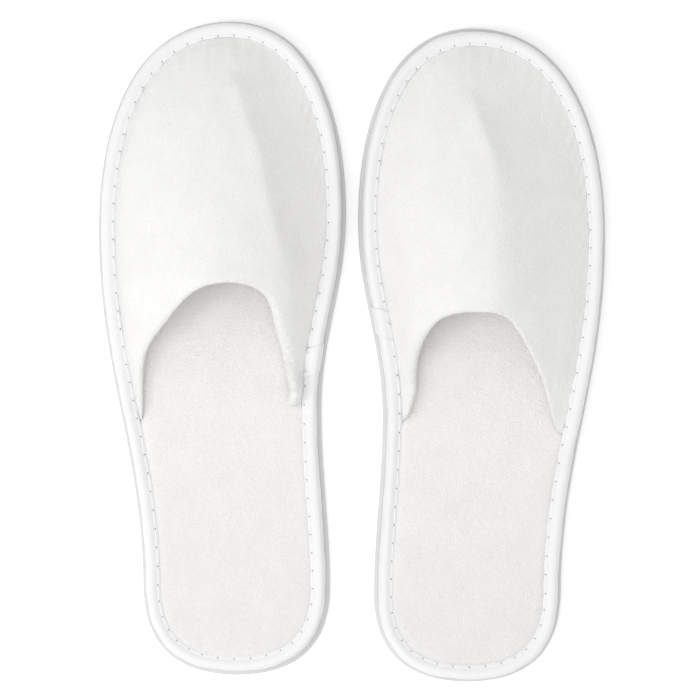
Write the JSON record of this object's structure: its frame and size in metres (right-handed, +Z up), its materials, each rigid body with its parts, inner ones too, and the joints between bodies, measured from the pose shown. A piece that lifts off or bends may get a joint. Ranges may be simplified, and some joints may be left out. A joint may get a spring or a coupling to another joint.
{
  "type": "spa slippers",
  "caption": "Pair of closed-toe, backless spa slippers with a flat foam outsole, velour insole and upper, and a stitched binding tape round the sole's edge.",
  "frame": {"origin": "middle of the pair's bounding box, on the floor under the soles", "axes": "+Y from the heels to the toes, +X from the left slipper to the right one, +Z up from the floor"},
  "size_m": [0.2218, 0.2886, 0.0459],
  "materials": {
    "eva_foam": "matte closed-cell foam sheet",
    "insole_board": "matte pressed board",
    "soft_foam": "matte open-cell foam",
    "velour": "short brushed nap",
    "lining": "smooth tricot",
    "binding_tape": "smooth folded tape",
    "thread": "twisted thread"
  },
  "bodies": {
    "left_slipper": {"left_outsole": "eva_foam", "left_insole_board": "insole_board", "left_insole_pad": "soft_foam", "left_insole_cover": "velour", "left_binding_tape": "binding_tape", "left_binding_stitching": "thread", "left_binding_lap": "binding_tape", "left_upper_shell": "velour", "left_upper_foam": "soft_foam", "left_upper_lining": "lining", "left_mouth_hem": "velour"},
    "right_slipper": {"right_outsole": "eva_foam", "right_insole_board": "insole_board", "right_insole_pad": "soft_foam", "right_insole_cover": "velour", "right_binding_tape": "binding_tape", "right_binding_stitching": "thread", "right_binding_lap": "binding_tape", "right_upper_shell": "velour", "right_upper_foam": "soft_foam", "right_upper_lining": "lining", "right_mouth_hem": "velour"}
  },
  "joints": [
    {"name": "right_slipper_slide", "type": "slide", "parent": "left_slipper", "child": "right_slipper", "axis": [1, 0, 0], "range_m": [0, 0.12]}
  ]
}
